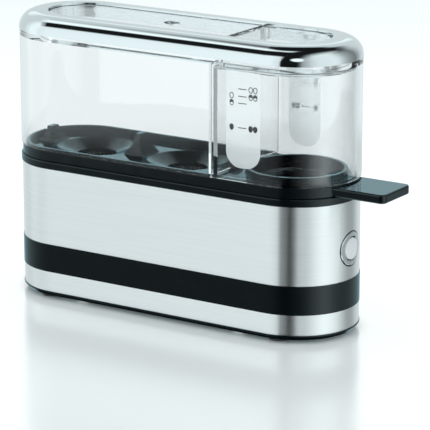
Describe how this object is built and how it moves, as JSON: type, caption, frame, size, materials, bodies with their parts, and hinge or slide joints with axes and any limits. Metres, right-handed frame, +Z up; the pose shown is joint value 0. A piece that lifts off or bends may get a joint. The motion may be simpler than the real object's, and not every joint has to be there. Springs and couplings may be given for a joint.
{
  "type": "egg cooker",
  "caption": "Narrow egg cooker with a brushed steel base, black lift-out egg tray with a handle tab, clear hood with a chrome frame, stored measuring cup and a push button.",
  "frame": {"origin": "middle of the footprint, handle included, at the level of the table", "axes": "+X along the body towards the handle and the button, -Y the front, +Z up"},
  "size_m": [0.2108, 0.0614, 0.1419],
  "materials": {
    "brushed_sleeve": "brushed along the body, satin",
    "black_plastic": "satin black moulding",
    "black_rubber": "matt",
    "silicone": "matt",
    "stainless": "pressed sheet, satin",
    "aluminium": "mill finish",
    "element_sheath": "dark heat-treated sheath",
    "plated_steel": "zinc plated",
    "pale_plastic": "heat-resistant moulding",
    "dark_plastic": "moulded case",
    "brown_lead": "silicone sheath",
    "blue_lead": "silicone sheath",
    "green_lead": "silicone sheath",
    "chrome": "polished plating",
    "satin_button": "satin silver",
    "clear_plastic": "clear polished moulding",
    "frosted_film": "frosted translucent"
  },
  "bodies": {
    "base": {"base_sleeve": "brushed_sleeve", "bottom_plate": "black_plastic", "trim_band": "black_plastic", "base_collar": "black_plastic", "rubber_feet": "black_rubber", "cord_bush": "black_rubber", "dish_seal": "silicone", "heating_dish": "stainless", "heat_spreader": "aluminium", "heat_shield": "aluminium", "heating_element": "element_sheath", "base_screws": "plated_steel", "element_pins": "plated_steel", "dish_studs": "plated_steel", "dish_bridges": "plated_steel", "stud_nuts": "plated_steel", "thermostat_bracket": "plated_steel", "thermostat_screws": "plated_steel", "fuse_clip": "plated_steel", "fuse_screw": "plated_steel", "switch_screws": "plated_steel", "switch_tabs": "plated_steel", "terminal_screws": "plated_steel", "earth_tag": "plated_steel", "thermostat": "pale_plastic", "switch_bracket": "pale_plastic", "terminal_block": "pale_plastic", "thermal_fuse": "pale_plastic", "power_switch": "dark_plastic", "lead_live": "brown_lead", "lead_switched": "brown_lead", "lead_heater": "brown_lead", "lead_neutral": "blue_lead", "lead_fuse": "blue_lead", "lead_earth": "green_lead", "button_bezel": "chrome"},
    "button": {"power_button": "satin_button", "switch_plunger": "pale_plastic", "button_spring": "plated_steel"},
    "tray": {"egg_tray": "black_plastic"},
    "cup": {"measuring_cup": "clear_plastic", "scale_films": "frosted_film"},
    "hood": {"hood_shell": "clear_plastic", "hood_frame": "chrome"}
  },
  "joints": [
    {"name": "tray_lift", "type": "slide", "parent": "base", "child": "tray", "axis": [0, 0, 1], "range_m": [0, 0.05]},
    {"name": "cup_lift", "type": "slide", "parent": "tray", "child": "cup", "axis": [0, 0, 1], "range_m": [0, 0.05]},
    {"name": "hood_lift", "type": "slide", "parent": "cup", "child": "hood", "axis": [0, 0, 1], "range_m": [0, 0.07]},
    {"name": "button_press", "type": "slide", "parent": "base", "child": "button", "axis": [-1, 0, 0], "range_m": [0, 0.0022], "stiffness_N_per_m": 600, "springref_m": -0.002, "deforming": ["button_spring"]}
  ]
}
